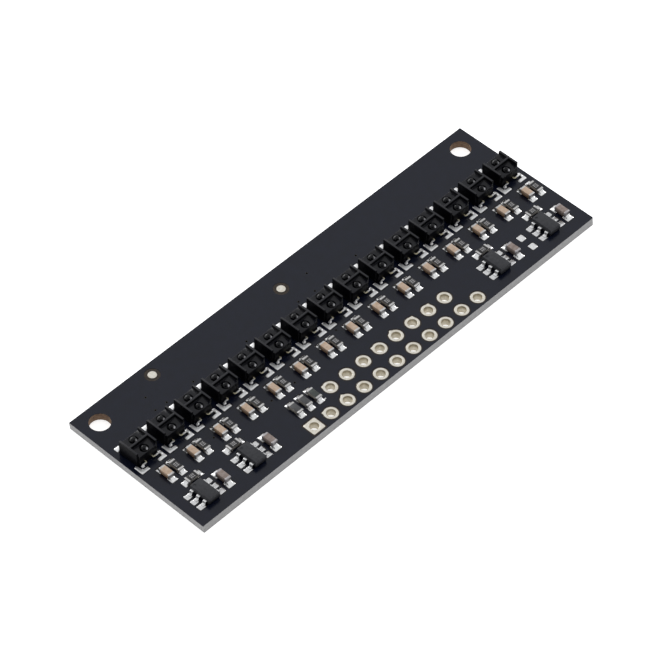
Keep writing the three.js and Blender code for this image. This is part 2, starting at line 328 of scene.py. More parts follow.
def paint_lens_highlight(towards, inner, outer, tint):
    """Painted highlight: a soft pale spot in the base colour where the dome faces towards; inner
    and outer are degrees off it.
    """
    tree = materials["sensor_lens"].node_tree
    base_input = tree.nodes["Principled BSDF"].inputs["Base Color"]
    colour = base_input.links[0].from_socket
    geometry = tree.nodes.new("ShaderNodeNewGeometry")
    facing = dot_with(tree, geometry.outputs["Normal"], towards)
    spot = map_range(tree, facing, smooth=True, from_min=math.cos(math.radians(outer)),
                     from_max=math.cos(math.radians(inner)))
    tree.links.new(mix_colour(tree, spot, colour, tint), base_input)


# painted highlight on the lens domes
paint_lens_highlight(towards=(0.231, -0.755, 0.612), inner=5, outer=24, tint=(0.42, 0.42, 0.44))

# chips and drivers
# the ceramic, alumina and epoxy bodies are painted darker towards the foot, as painted shade
material("ceramic_tan", base=(0.585, 0.435, 0.320), dark=(0.50, 0.345, 0.225),
         light=(0.655, 0.53, 0.43), scale=2400, rough=0.53,
         specks=dict(scale=15000, amount=0.35, tint=(0.36, 0.20, 0.11)),
         foot_shade=dict(top=0.00176, tint=(0.15, 0.075, 0.036)))
material("ceramic_grey", base=(0.285, 0.225, 0.20), dark=(0.22, 0.165, 0.14),
         light=(0.36, 0.30, 0.275), scale=2400, rough=0.53,
         specks=dict(scale=15000, amount=0.35, tint=(0.18, 0.12, 0.10)),
         foot_shade=dict(top=0.00184, tint=(0.05, 0.032, 0.026)))
material("resistor_glaze", base=(0.010, 0.010, 0.011), dark=(0.007, 0.007, 0.008),
         light=(0.016, 0.016, 0.018), scale=5000, rough=0.32)
material("alumina", base=(0.36, 0.34, 0.31), dark=(0.27, 0.25, 0.22), light=(0.46, 0.44, 0.41),
         scale=6000, rough=0.62,
         specks=dict(scale=20000, amount=0.35, tint=(0.22, 0.20, 0.17)),
         foot_shade=dict(top=0.00138, tint=(0.11, 0.10, 0.085)))
material("printed_mark", base=(0.38, 0.37, 0.375), dark=(0.27, 0.27, 0.27),
         light=(0.48, 0.47, 0.475), scale=14000, rough=0.55)
material("plain_chip_body", base=(0.060, 0.062, 0.066), dark=(0.042, 0.044, 0.048),
         light=(0.085, 0.087, 0.092), scale=3000, rough=0.42,
         specks=dict(scale=14000, amount=0.35, tint=(0.12, 0.12, 0.12)))
material("green_chip_body", base=(0.040, 0.050, 0.046), dark=(0.028, 0.035, 0.033),
         light=(0.06, 0.072, 0.066), scale=3000, rough=0.40,
         specks=dict(scale=14000, amount=0.35, tint=(0.085, 0.09, 0.08)))
material("driver_epoxy", base=(0.026, 0.027, 0.033), dark=(0.018, 0.019, 0.024),
         light=(0.037, 0.038, 0.045), scale=2600, rough=0.60, specular=0.42,
         specks=dict(scale=26000, amount=0.5, tint=(0.06, 0.061, 0.068)),
         foot_shade=dict(top=0.00180, tint=(0.008, 0.008, 0.010)))
# via plating coloured near black as painted shade of the small holes
material("via_plating_shaded", base=(0.05, 0.045, 0.04), dark=(0.03, 0.028, 0.026),
         light=(0.08, 0.07, 0.06), scale=9000, rough=0.5, rough_var=0.08, metal=0.6)

# ------------------------------------------------------------------ mesh tools
# The shape functions return (vertices, faces) in millimetres.


class Shell:
    """Collects closed shells, with a material index for each face."""

    def __init__(self):
        self.verts, self.faces, self.mats = [], [], []

    def add(self, verts, faces, mat=0, at=(0, 0, 0), turn=0.0, mirror=(1, 1)):
        """mat is one index or a list with one for each face; mirror comes before turn."""
        start = len(self.verts)
        c, s = math.cos(turn), math.sin(turn)
        for x, y, z in verts:
            x, y = x * mirror[0], y * mirror[1]
            self.verts.append((c * x - s * y + at[0], s * x + c * y + at[1], z + at[2]))
        flip = mirror[0] * mirror[1] < 0
        for face in faces:
            face = [k + start for k in face]
            self.faces.append(face[::-1] if flip else face)
        self.mats += mat if isinstance(mat, list) else [mat] * len(faces)
        return self


def piece(name, shell, mats, angle, replaces=()):
    """Makes the object; edges sharper than angle degrees stay crisp."""
    mesh = bpy.data.meshes.new(name)
    mesh.from_pydata([(x * MM, y * MM, z * MM) for x, y, z in shell.verts], [], shell.faces)
    for mat in mats:
        mesh.materials.append(materials[mat])
    mesh.polygons.foreach_set("material_index", shell.mats)
    mesh.polygons.foreach_set("use_smooth", [True] * len(mesh.polygons))
    mesh.update()
    mesh.set_sharp_from_angle(angle=math.radians(angle))
    obj = bpy.data.objects.new(name, mesh)
    bpy.context.scene.collection.objects.link(obj)
    if replaces:
        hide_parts(*replaces)
    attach(obj, "root")


def to_bmesh(verts, faces):
    bm = bmesh.new()
    made = [bm.verts.new(v) for v in verts]
    for face in faces:
        bm.faces.new([made[k] for k in face])
    bmesh.ops.recalc_face_normals(bm, faces=list(bm.faces))
    return bm


def from_bmesh(bm):
    bm.verts.ensure_lookup_table()
    bm.verts.index_update()
    verts = [tuple(v.co) for v in bm.verts]
    faces = [[v.index for v in face.verts] for face in bm.faces]
    bm.free()
    return verts, faces


def round_edges(bm, min_angle, radius):
    """Rounds the edges that bend by more than min_angle degrees."""
    sharp = [e for e in bm.edges if e.calc_face_angle(0) > math.radians(min_angle)]
    bmesh.ops.bevel(bm, geom=sharp, offset=radius, segments=2, profile=0.5,
                    affect="EDGES", clamp_overlap=True)


@lru_cache(maxsize=None)
def centred_box(size_x, size_y, size_z, radius, segments):
    bm = bmesh.new()
    bmesh.ops.create_cube(bm, size=1.0)
    for v in bm.verts:
        v.co = Vector((v.co.x * size_x, v.co.y * size_y, v.co.z * size_z))
    if radius > 0:
        bmesh.ops.bevel(bm, geom=list(bm.edges), offset=radius, segments=segments,
                        profile=0.5, affect="EDGES")
    bmesh.ops.recalc_face_normals(bm, faces=list(bm.faces))
    return from_bmesh(bm)


def box(x0, x1, y0, y1, z0, z1, radius, segments):
    """Box with rounded edges."""
    verts, faces = centred_box(round(x1 - x0, 5), round(y1 - y0, 5), round(z1 - z0, 5),
                               radius, segments)
    cx, cy, cz = (x0 + x1) / 2, (y0 + y1) / 2, (z0 + z1) / 2
    return [(x + cx, y + cy, z + cz) for x, y, z in verts], faces


def slab(half_x, half_y, z0, z1, radius, segments):
    """Rounded box centred on the Z axis."""
    return box(-half_x, half_x, -half_y, half_y, z0, z1, radius, segments)


def spin(profile, n):
    """The (r, z) points of a profile at n steps round Z."""
    return [(r * math.cos(a), r * math.sin(a), z)
            for a in (2 * math.pi * i / n for i in range(n)) for r, z in profile]


def ring_faces(n, k):
    """Quads that join n closed sections of k points into a ring."""
    return [[i * k + p, (i + 1) % n * k + p, (i + 1) % n * k + (p + 1) % k, i * k + (p + 1) % k]
            for i in range(n) for p in range(k)]


def lathe(profile, n):
    """Turns a profile of (r, z) round Z; it starts and ends on the axis, bottom first."""
    verts = spin(profile[1:-1], n)
    k = len(profile) - 2
    bottom, top = len(verts), len(verts) + 1
    verts += [(0, 0, profile[0][1]), (0, 0, profile[-1][1])]
    faces = []
    for i in range(n):
        j = (i + 1) % n
        faces.append([bottom, j * k, i * k])
        for p in range(k - 1):
            faces.append([i * k + p, j * k + p, j * k + p + 1, i * k + p + 1])
        faces.append([top, i * k + k - 1, j * k + k - 1])
    return verts, faces


def pillow(x0, x1, y0, y1, height, steps, squareness=8):
    """A blob of solder from the laminate up, with a rounded rectangular outline.

    height(x, y, m) gives the top, m running from 0 in the middle to 1 at the edge.
    """
    half_x, half_y, cx, cy = (x1 - x0) / 2, (y1 - y0) / 2, (x0 + x1) / 2, (y0 + y1) / 2
    # even spacing, with the last ring close to the edge so that the shoulder is tight
    marks = [-1.0, -0.94] + [-0.82 + 1.64 * i / (steps - 2) for i in range(steps - 1)]
    marks += [0.94, 1.0]
    n = len(marks)
    verts, faces = [], []
    for t in marks:
        for s in marks:
            m = max(abs(s), abs(t))
            norm = (abs(s) ** squareness + abs(t) ** squareness) ** (1.0 / squareness)
            pull = m / norm if m > 0 else 1.0
            x, y = cx + half_x * s * pull, cy + half_y * t * pull
            verts.append((x, y, height(x, y, m)))
    for j in range(n - 1):
        for i in range(n - 1):
            a = j * n + i
            faces.append([a, a + 1, a + n + 1, a + n])
    last = n * (n - 1)
    rim = list(range(n)) + [j * n + n - 1 for j in range(1, n)]
    rim += [last + i for i in range(n - 2, -1, -1)] + [j * n for j in range(n - 2, 0, -1)]
    low = list(range(len(verts), len(verts) + len(rim)))
    verts += [(verts[k][0], verts[k][1], LAM_TOP) for k in rim]
    for a in range(len(rim)):
        b = (a + 1) % len(rim)
        faces.append([rim[b], rim[a], low[a], low[b]])
    faces.append(low[::-1])
    return verts, faces


SOLDER_EDGE = TOP - 0.005         # solder meets its outline just under the mask surface


def mound(rise, power, edge=SOLDER_EDGE):
    """Height of a plain solder mound; a higher power makes a flatter top."""
    return lambda x, y, m: edge + rise * (1 - m ** power)


def circle(cx, cy, r, n):
    return [(cx + r * math.cos(2 * math.pi * i / n), cy + r * math.sin(2 * math.pi * i / n))
            for i in range(n)]


def rounded_rect(cx, cy, half_x, half_y, r):
    steps = 3
    loop = []
    for sx, sy, first in ((1, 1, 0), (-1, 1, 90), (-1, -1, 180), (1, -1, 270)):
        for i in range(steps + 1):
            a = math.radians(first + 90 * i / steps)
            loop.append((cx + sx * (half_x - r) + r * math.cos(a),
                         cy + sy * (half_y - r) + r * math.sin(a)))
    return loop


def inside(px, py, loop):
    """Even-odd test of one point, or of arrays of points, against a loop."""
    result = np.zeros(np.shape(px), bool)
    points = np.array(loop)
    for (ax, ay), (bx, by) in zip(points, np.roll(points, -1, axis=0)):
        if ay != by:
            spans = (ay > py) != (by > py)
            result = result ^ (spans & (px < (bx - ax) * (py - ay) / (by - ay) + ax))
    return result


def counterclockwise(points, tri):
    a, b, c = (points[k] for k in tri)
    area = (b.x - a.x) * (c.y - a.y) - (b.y - a.y) * (c.x - a.x)
    return list(tri) if area >= 0 else list(tri)[::-1]


def triangulate(points, edges):
    """Triangles over points with edges kept: (points out, triangles, source of each point)."""
    out, _, tris, source, _, _ = delaunay_2d_cdt(points, edges, [], 0, 1e-7)
    return out, tris, source


def plate(outer, holes, z0, z1, face_mat=0, wall_mats=()):
    """Flat plate with holes, as one closed shell: (vertices, faces, materials).

    wall_mats is for the outline and the first holes; other walls take face_mat.
    """
    points, edges, loops = [], [], []
    for loop in [outer] + holes:
        start, n = len(points), len(loop)
        points += [Vector(p) for p in loop]
        loops.append(range(start, start + n))
        edges += [(start + i, start + (i + 1) % n) for i in range(n)]
    out, tris, source = triangulate(points, edges)
    placed = {s: i for i, sources in enumerate(source) for s in sources}
    mid_x = np.array([sum(out[k].x for k in t) / 3 for t in tris])
    mid_y = np.array([sum(out[k].y for k in t) / 3 for t in tris])
    keep = inside(mid_x, mid_y, outer)
    for loop in holes:
        keep &= ~inside(mid_x, mid_y, loop)
    n = len(out)
    verts = [(p.x, p.y, z1) for p in out] + [(p.x, p.y, z0) for p in out]
    faces = []
    for tri, kept in zip(tris, keep):
        if kept:
            tri = counterclockwise(out, tri)
            faces += [tri, [k + n for k in tri[::-1]]]
    mats = [face_mat] * len(faces)
    for number, loop in enumerate(loops):
        path = [placed[i] for i in loop]
        pairs = list(zip(path, path[1:] + path[:1]))
        area = sum(out[a].x * out[b].y - out[b].x * out[a].y for a, b in pairs)
        if (area > 0) != (number == 0):
            path = path[::-1]
            pairs = list(zip(path, path[1:] + path[:1]))
        faces += [[a, a + n, b + n, b] for a, b in pairs]
        mats += [wall_mats[number] if number < len(wall_mats) else face_mat] * len(pairs)
    return verts, faces, mats


def height_solid(xs, ys, heights, radius):
    """Block on z = 0.05 whose top steps over a grid of cells; None is an empty cell."""
    z0 = 0.05
    levels = sorted({z0} | {h for row in heights for h in row if h is not None})
    number = {}
    faces = []

    def vert(x, y, z):
        return number.setdefault((round(x, 6), round(y, 6), round(z, 6)), len(number))

    nx, ny = len(xs) - 1, len(ys) - 1

    def cell(i, j):
        return heights[j][i] if 0 <= i < nx and 0 <= j < ny else None

    for i in range(nx):
        for j in range(ny):
            top = cell(i, j)
            if top is None:
                continue
            a, b, c, d = xs[i], xs[i + 1], ys[j], ys[j + 1]
            faces.append([vert(a, c, top), vert(b, c, top), vert(b, d, top), vert(a, d, top)])
            faces.append([vert(a, d, z0), vert(b, d, z0), vert(b, c, z0), vert(a, c, z0)])
            for di, dj, p, q in ((1, 0, (b, c), (b, d)), (-1, 0, (a, d), (a, c)),
                                 (0, 1, (b, d), (a, d)), (0, -1, (a, c), (b, c))):
                beside = cell(i + di, j + dj)
                foot = z0 if beside is None else beside
                for low, high in zip(levels, levels[1:]):
                    if low >= foot and high <= top:
                        faces.append([vert(*p, low), vert(*q, low),
                                      vert(*q, high), vert(*p, high)])
    bm = to_bmesh(number, faces)
    bmesh.ops.dissolve_limit(bm, angle_limit=math.radians(1), verts=list(bm.verts),
                             edges=list(bm.edges))
    round_edges(bm, 30, radius)
    return from_bmesh(bm)


def dimple(verts, faces, z, cx, cy, r, depth, n, taper):
    """Sinks a round recess, narrower by taper at its foot, into the flat face at height z."""
    verts, faces = list(verts), [list(face) for face in faces]
    found = next(k for k, face in enumerate(faces)
                 if max(abs(verts[i][2] - z) for i in face) < 1e-5
                 and inside(cx, cy, [verts[i][:2] for i in face]))
    loop = faces.pop(found)
    m = len(loop)
    points = [Vector(verts[i][:2]) for i in loop] + [Vector(p) for p in circle(cx, cy, r, n)]
    edges = [(i, (i + 1) % m) for i in range(m)] + [(m + i, m + (i + 1) % n) for i in range(n)]
    out, tris, source = triangulate(points, edges)
    first = len(verts)
    ids = loop + list(range(first, first + n))
    verts += [(x, y, z) for x, y in circle(cx, cy, r, n)]
    outer = [(p.x, p.y) for p in points[:m]]
    hole_r = r * math.cos(math.pi / n) * 0.999
    for tri in tris:
        mid = sum((out[i] for i in tri), Vector((0, 0))) / len(tri)
        if inside(mid.x, mid.y, outer) and (mid - Vector((cx, cy))).length >= hole_r:
            faces.append([ids[source[i][0]] for i in counterclockwise(out, tri)])
    low = list(range(len(verts), len(verts) + n))
    verts += [(x, y, z - depth) for x, y in circle(cx, cy, r - taper, n)]
    for i in range(n):
        j = (i + 1) % n
        faces.append([first + j, first + i, low[i], low[j]])
    faces.append(low)
    return verts, faces


def extrude_profile(points, y0, y1, radius):
    """Profile in X-Z, extruded along Y, with rounded edges."""
    n = len(points)
    verts = [(x, y, z) for y in (y0, y1) for x, z in points]
    faces = [list(range(n)), list(range(n, 2 * n))[::-1]]
    for i in range(n):
        j = (i + 1) % n
        faces.append([j, i, n + i, n + j])
    bm = to_bmesh(verts, faces)
    round_edges(bm, 50, radius)
    return from_bmesh(bm)


def wire(path, half_w, half_h):
    """Closed strip of chamfered section along a path that starts level."""
    section = [(1, -0.55), (1, 0.55), (0.72, 1), (-0.72, 1),
               (-1, 0.55), (-1, -0.55), (-0.72, -1), (0.72, -1)]
    n = len(section)
    points = [Vector(p) for p in path]
    steps = [(b - a).normalized() for a, b in zip(points, points[1:])]
    verts, faces = [], []
    side = None
    for i, point in enumerate(points):
        along = (steps[max(i - 1, 0)] + steps[min(i, len(steps) - 1)]).normalized()
        if side is None:
            side = along.cross(Vector((0, 0, 1))).normalized()
        else:
            side = (side - along * side.dot(along)).normalized()
        up = side.cross(along).normalized()
        verts += [tuple(point + side * (half_w * a) + up * (half_h * b)) for a, b in section]
    for i in range(len(steps)):
        for k in range(n):
            j = (k + 1) % n
            faces.append([i * n + k, i * n + j, (i + 1) * n + j, (i + 1) * n + k])
    faces.append(list(range(n))[::-1])
    faces.append([len(steps) * n + k for k in range(n)])
    return from_bmesh(to_bmesh(verts, faces))


# ----------------------------------------------------------------------- lands
# A rectangular land is (x0, x1, y0, y1).


def chip_lands(cx, cy, turned=False, outer=LAND_OUTER, half_w=LAND_HALF_W):
    """The two lands of a chip that lies along Y, or along X when turned."""
    lands = []
    for s in (-1, 1):
        a, b = sorted((s * LAND_INNER, s * outer))
        if turned:
            lands.append((cx + a, cx + b, cy - half_w, cy + half_w))
        else:
            lands.append((cx - half_w, cx + half_w, cy + a, cy + b))
    return lands


def driver_lands(cx, cy):
    lands = []
    for sx in (-1, 1):
        a, b = sorted((sx * DRIVER_LAND_IN, sx * DRIVER_LAND_OUT))
        for k in (-1, 0, 1):
            y = cy + k * DRIVER_PITCH
            lands.append((cx + a, cx + b, y - DRIVER_LAND_HALF_W, y + DRIVER_LAND_HALF_W))
    return lands


unfitted_lands = [(x - 0.42, x + 0.42, y - 0.43, y + 0.43) for x, y in EMPTY_LANDS]
rect_lands = []
for part in CAPACITORS + RESISTORS + HEADER_CHIPS:
    rect_lands += chip_lands(*centre(part))
rect_lands += chip_lands(*THIRD_CHIP)
for part in SET_RESISTORS:
    rect_lands += chip_lands(*centre(part), True, SET_LAND_OUTER)
for part in BULK_CAPACITORS:
    rect_lands += chip_lands(*centre(part), False, BULK_LAND_OUTER, BULK_LAND_HALF_W)
for part in DRIVERS:
    rect_lands += driver_lands(*centre(part))
rect_lands += unfitted_lands
# the front land of the third header chip has a short track stub on its +X side
STUB_LAND = chip_lands(*THIRD_CHIP)[0]

# ----------------------------------------------------------------------- board

CLEAR = 0.05                      # the mask is pulled back this far from every land


def board_outline():
    r, steps = CORNER_R, 6
    loop = [(-HALF_X, -HALF_Y)]
    for i in range(steps + 1):
        a = -math.pi / 2 + (math.pi / 2) * i / steps
        loop.append((HALF_X - r + r * math.cos(a), -HALF_Y + r + r * math.sin(a)))
    return loop + [(HALF_X, HALF_Y), (-HALF_X, HALF_Y)]


# Shift of a cut edge at the top and at the foot of the board, each as
# (shift where the edge starts, growth over its length)
LEFT_LEAN = ((-0.02, 0.085), (0.055, 0.105))     # towards +X, from front to back
FRONT_LEAN = ((0.0, 0.04), (0.10, 0.05))         # towards -Y, from right to left


def edge_shift(lean_table, along, down):
    (top, top_growth), (foot, foot_growth) = lean_table
    return (top + top_growth * along) * (1 - down) + (foot + foot_growth * along) * down


def lean(verts):
    """The -X and -Y edges are not quite square: the foot of each stands off its top."""
    leant = []
    for x, y, z in verts:
        down = (TOP - z) / TOP
        new_x, new_y = x, y
        if x < -HALF_X + 0.001:
            new_x += edge_shift(LEFT_LEAN, (y + HALF_Y) / (2 * HALF_Y), down)
        if y < -HALF_Y + 0.16:
            new_y -= edge_shift(FRONT_LEAN, (HALF_X - x) / (2 * HALF_X), down)
        leant.append((new_x, new_y, z))
    return leant


def pad_radius(tag, a, grow=0.0):
    """Outer radius of a header pad in direction a: round, square or with a trace stub."""
    if tag == SQUARE_PAD:
        half = SQUARE_HALF + grow
        return min(half / max(abs(math.cos(a)), abs(math.sin(a))), half * 1.36)
    r = PAD_R + grow
    if tag in STUBS:
        off = abs((a - math.radians(STUBS[tag]) + math.pi) % (2 * math.pi) - math.pi)
        if off < STUB_HALF_ANGLE:
            r += STUB_LENGTH * (1 - off / STUB_HALF_ANGLE)
    return r


PAD_STEPS = 48
PAD_ANGLES = [2 * math.pi * i / PAD_STEPS for i in range(PAD_STEPS)]


def pad_loop(x, y, tag, grow):
    return [(x + pad_radius(tag, a, grow) * math.cos(a), y + pad_radius(tag, a, grow) * math.sin(a))
            for a in PAD_ANGLES]


def bottom_tag(tag):
    """Pads on the bottom face have no stubs."""
    return tag if tag == SQUARE_PAD else None


def rect_land_opening(land):
    x0, x1, y0, y1 = land
    if land == STUB_LAND:
        x0, x1, y0, y1 = x0 - CLEAR, x1 + CLEAR, y0 - CLEAR, y1 + CLEAR
        return [(x0, y0), (x1, y0), (x1, y0 + 0.10), (x1 + 0.22, y0 + 0.16),
                (x1 + 0.22, y0 + 0.30), (x1, y0 + 0.36), (x1, y1), (x0, y1)]
    return rounded_rect((x0 + x1) / 2, (y0 + y1) / 2, (x1 - x0) / 2 + CLEAR,
                        (y1 - y0) / 2 + CLEAR, 0.09)


def sensor_land_opening(cx, cy, sx, sy, w_end):
    w1 = w_end + CLEAR
    if sy > 0:
        u0, u1, w0 = BACK_LAND_U0 - CLEAR, BACK_LAND_U1 + CLEAR, BACK_LAND_W0 - CLEAR
        loop = [(u0, w1), (u0, w0), (u1, w0), (u1, w1)]
    else:
        # the L-shaped opening leaves mask over the inner back corner of the land as painted shade
        u0, u1, w0, leg_u = L_LAND[sx]
        u0, u1, w0, leg_u = u0 - CLEAR, u1 + CLEAR, w0 - CLEAR, leg_u - CLEAR
        bar_w = w_end - L_BAR_W - CLEAR
        loop = [(u0, w1), (u0, bar_w), (leg_u - L_CORNER, bar_w), (leg_u, bar_w - L_CORNER),
                (leg_u, w0), (u1 - 0.06, w0), (u1, w0 + 0.06), (u1, w1 - 0.08), (u1 - 0.08, w1)]
    return [(cx + sx * u, cy + sy * w) for u, w in loop]


def mount_circles(grow=0.0):
    return [circle(sx * MOUNT_X, MOUNT_Y, MOUNT_R + grow, 96) for sx in (-1, 1)]


def via_circles(grow=0.0):
    return [circle(x, y, VIA_R + grow, 16) for x, y in VIAS]


def laminate():
    holes = mount_circles()
    holes += [circle(x, y, BORE_R + 0.06, 40) for x, y, _ in HEADER_HOLES]
    holes += via_circles(0.03)
    verts, faces, mats = plate(board_outline(), holes, LAM_BOTTOM, LAM_TOP,
                               face_mat=2, wall_mats=(0, 1, 1))
    piece("board_laminate", Shell().add(lean(verts), faces, mats),
          ["laminate_edge", "laminate_bore", "laminate_in_mask_opening"],
          angle=25, replaces=["board"])


def mask(name, openings, z0, z1):
    verts, faces, mats = plate(board_outline(), openings, z0, z1)
    piece(name, Shell().add(lean(verts), faces, mats), ["solder_mask"], angle=25)


def top_openings():
    """Open over every land, pad, fiducial and via."""
    openings = mount_circles(0.01)
    openings += [pad_loop(x, y, tag, 0.15) for x, y, tag in HEADER_HOLES]
    openings += [circle(x, y, 0.90, 40) for x, y in FIDUCIALS]
    openings += via_circles()
    openings += [rect_land_opening(land) for land in rect_lands]
    for name in SENSORS:
        openings += [sensor_land_opening(*centre(name), *land) for land in SENSOR_LANDS]
    return openings


def bottom_openings():
    openings = mount_circles(0.01)
    openings += [pad_loop(x, y, bottom_tag(tag), 0.055) for x, y, tag in HEADER_HOLES]
    return openings + via_circles()


def header_hole(name, x, y, tag):
    """Pad on both faces and the barrel between them, one closed ring."""
    top, bottom = TOP + 0.004, BOTTOM
    lip = 0.055                   # rounding of the mouth
    shank = BORE_R + 0.055        # outside of the barrel
    verts = []
    for a in PAD_ANGLES:
        top_r, bottom_r = pad_radius(tag, a), pad_radius(bottom_tag(tag), a)
        section = [
            (BORE_R, bottom + lip), (BORE_R, top - lip), (BORE_R + lip * 0.3, top - lip * 0.3),
            (BORE_R + lip, top), (top_r - 0.03, top), (top_r - 0.008, top - 0.008),
            (top_r, top - 0.024), (top_r, LAM_TOP - 0.003), (shank, LAM_TOP - 0.003),
            (shank, LAM_BOTTOM + 0.003), (bottom_r, LAM_BOTTOM + 0.003),
            (bottom_r, bottom + 0.02), (bottom_r - 0.03, bottom), (BORE_R + lip, bottom)]
        verts += [(r * math.cos(a), r * math.sin(a), z) for r, z in section]
    k = len(section)
    # the section runs clockwise, so each face is turned over
    faces = [face[:1] + face[:0:-1] for face in ring_faces(PAD_STEPS, k)]
    # the bore and its lips take the darker barrel plating: painted shade inside the hole
    mats = [1 if p in (0, 1, 2, k - 1) else 0 for p in range(k)] * PAD_STEPS
    piece(name, Shell().add(verts, faces, mats, at=(x, y, 0)), ["plated_pad", "plated_barrel_shaded"],
          angle=40)


def fiducial(name, x, y):
    top, r = LAM_TOP + 0.03, FIDUCIAL_R
    disc = lathe([(0, LAM_TOP - 0.01), (r, LAM_TOP - 0.01), (r, top - 0.012), (r - 0.012, top),
                  (0.3, top), (0, top)], 48)
    piece(name, Shell().add(*disc, at=(x, y, 0)), ["plated_pad"], angle=40)


def via_barrels():
    """Plated tubes coloured near black, painted shade of the small holes, so that they show as
    small dark dots.
    """
    section = [(0.10, LAM_BOTTOM), (0.145, LAM_BOTTOM), (0.145, TOP - 0.002),
               (0.12, TOP - 0.002), (0.10, TOP - 0.03)]
    shell = Shell()
    for x, y in VIAS:
        shell.add(spin(section, 16), ring_faces(16, len(section)), at=(x, y, 0))
    piece("via_barrels", shell, ["via_plating_shaded"], angle=40)


laminate()
mask("solder_mask_top", top_openings(), LAM_TOP, TOP)
mask("solder_mask_bottom", bottom_openings(), BOTTOM, LAM_BOTTOM)
for i, hole in enumerate(HEADER_HOLES):
    header_hole("header_hole_%02d" % (i + 1), *hole)
for i, spot in enumerate(FIDUCIALS):
    fiducial("fiducial_%d" % (i + 1), *spot)
via_barrels()

# ----------------------------------------------------------------------- chips


def chip_solder(name, at, turned, outer, half_w, joint):
    """Solder on both lands of a chip, climbing the end faces by joint."""
    cx, cy = at
    shoulder = CHIP_HALF_W * 0.72
    reach = (outer - CHIP_HALF_LEN) * 0.8

    def height(x, y, m):
        along, across = abs(x - cx), abs(y - cy)
        if not turned:
            along, across = across, along
        out = max(0.0, along - CHIP_HALF_LEN)
        climb = max(0.0, 1 - out / reach) ** 2.0
        side = max(0.0, 1 - max(0.0, across - shoulder) / (half_w - shoulder))
        fall = max(0.0, (m - 0.45) / 0.55)
        return SOLDER_EDGE + 0.085 * (1 - fall * fall) + joint * climb * side ** 1.3

    shell = Shell()
    for land in chip_lands(cx, cy, turned, outer, half_w):
        shell.add(*pillow(*land, height, 14))
    piece(name + "_solder", shell, ["solder"], angle=60)


def add_end_bands(shell, mat, length, height, radius, segments, **place):
    for s in (-1, 1):
        y0, y1 = sorted((s * CHIP_HALF_LEN, s * (CHIP_HALF_LEN - length)))
        shell.add(*box(-CHIP_HALF_W, CHIP_HALF_W, y0, y1, 0, height, radius, segments),
                  mat, **place)


def capacitor(name, ceramic, metal, outer, half_w, joint, skew):
    """Ceramic block with a metal band round each end; skew is in degrees."""
    cx, cy = centre(name)
    height = box_mm(name)[1][2] - TOP - LIFT
    place = dict(at=(cx, cy, TOP + LIFT), turn=math.radians(skew))
    shell = Shell()
    shell.add(*slab(CHIP_HALF_W - 0.018, CHIP_HALF_LEN - 0.12, 0.018, height - 0.018, 0.05, 3),
              0, **place)
    add_end_bands(shell, 1, length=0.27, height=height, radius=0.085, segments=4, **place)
    piece(name + "_body", shell, [ceramic, metal], angle=50, replaces=[name])
    chip_solder(name, (cx, cy), False, outer, half_w, joint)


def add_bar_marks(shell, mat, top, **place):
    """Three bars across the top, each broken by a gap that steps along X."""
    half_w = 0.115 / 2
    for k in (-1, 0, 1):
        y = k * 0.20
        for x0, x1 in ((-0.24, -0.05 + 0.04 * k), (0.02 + 0.04 * k, 0.24)):
            shell.add(*box(x0, x1, y - half_w, y + half_w, top - 0.01, top + 0.001, 0.0, 1),
                      mat, **place)


def resistor(name, at, slot, top_mat, height, joint, marked=False, turned=False,
             outer=LAND_OUTER, skew=0.0, replaces=()):
    """Alumina block with a coated top, wrapped end bands and perhaps bar marks."""
    height -= LIFT
    turn = (math.pi / 2 if turned else 0.0) + math.radians(skew)
    place = dict(at=(*at, TOP + LIFT), turn=turn)
    shell = Shell()
    shell.add(*slab(CHIP_HALF_W - 0.01, CHIP_HALF_LEN - 0.03, 0.02, height - 0.035, 0.02, 2),
              0, **place)
    shell.add(*slab(CHIP_HALF_W - 0.025, CHIP_HALF_LEN - 0.25, height - 0.06, height - 0.004,
                    0.022, 2), 1, **place)
    add_end_bands(shell, 2, length=0.24, height=height, radius=0.045, segments=3, **place)
    mats = ["alumina", top_mat, "tinned_metal"]
    if marked:
        mats.append("printed_mark")
        add_bar_marks(shell, 3, height, **place)
    piece(name + "_body", shell, mats, angle=50, replaces=replaces)
    chip_solder(name, at, turned, outer, LAND_HALF_W, joint)


def unfitted_chip_lands():
    """Two bare soldered lands, and the track stub of the third header chip."""
    def height(x, y, m):
        return TOP + 0.02 + 0.03 * (1 - m ** 4) - 0.02 * max(0.0, (m - 0.9) / 0.1)

    shell = Shell()
    for land in unfitted_lands:
        shell.add(*pillow(*land, height, 12))
    _, x1, y0, _ = STUB_LAND
    shell.add(*pillow(x1 - 0.04, x1 + 0.24, y0 + 0.13, y0 + 0.24,
                      lambda x, y, m: TOP + 0.006, 12))
    piece("unfitted_chip_lands", shell, ["solder"], angle=60)


for part in CAPACITORS:
    capacitor(part, "ceramic_tan", "tinned_metal", outer=LAND_OUTER, half_w=LAND_HALF_W,
              joint=0.13, skew=skew_random.uniform(-0.8, 0.8))
for part in BULK_CAPACITORS:
    capacitor(part, "ceramic_grey", "dull_tin", outer=BULK_LAND_OUTER,
              half_w=BULK_SOLDER_HALF_W, joint=0.22, skew=skew_random.uniform(-1, 1))

marked_chip = dict(slot="resistor", top_mat="resistor_glaze", height=0.45, joint=0.20, marked=True)
for part in RESISTORS:
    resistor(part, centre(part), skew=skew_random.uniform(-0.8, 0.8), replaces=[part],
             **marked_chip)
for part in SET_RESISTORS:
    resistor(part, centre(part), turned=True, outer=SET_LAND_OUTER,
             skew=skew_random.uniform(-0.8, 0.8), replaces=[part], **marked_chip)

header_chip = dict(slot="header_chip", height=0.5, joint=0.24)
for part in HEADER_CHIPS:
    resistor(part, centre(part), top_mat="plain_chip_body", replaces=[part], **header_chip)
resistor("header_chip_3", THIRD_CHIP, top_mat="green_chip_body", **header_chip)
unfitted_chip_lands()

# --------------------------------------------------------------------- drivers
# heights are above the board top

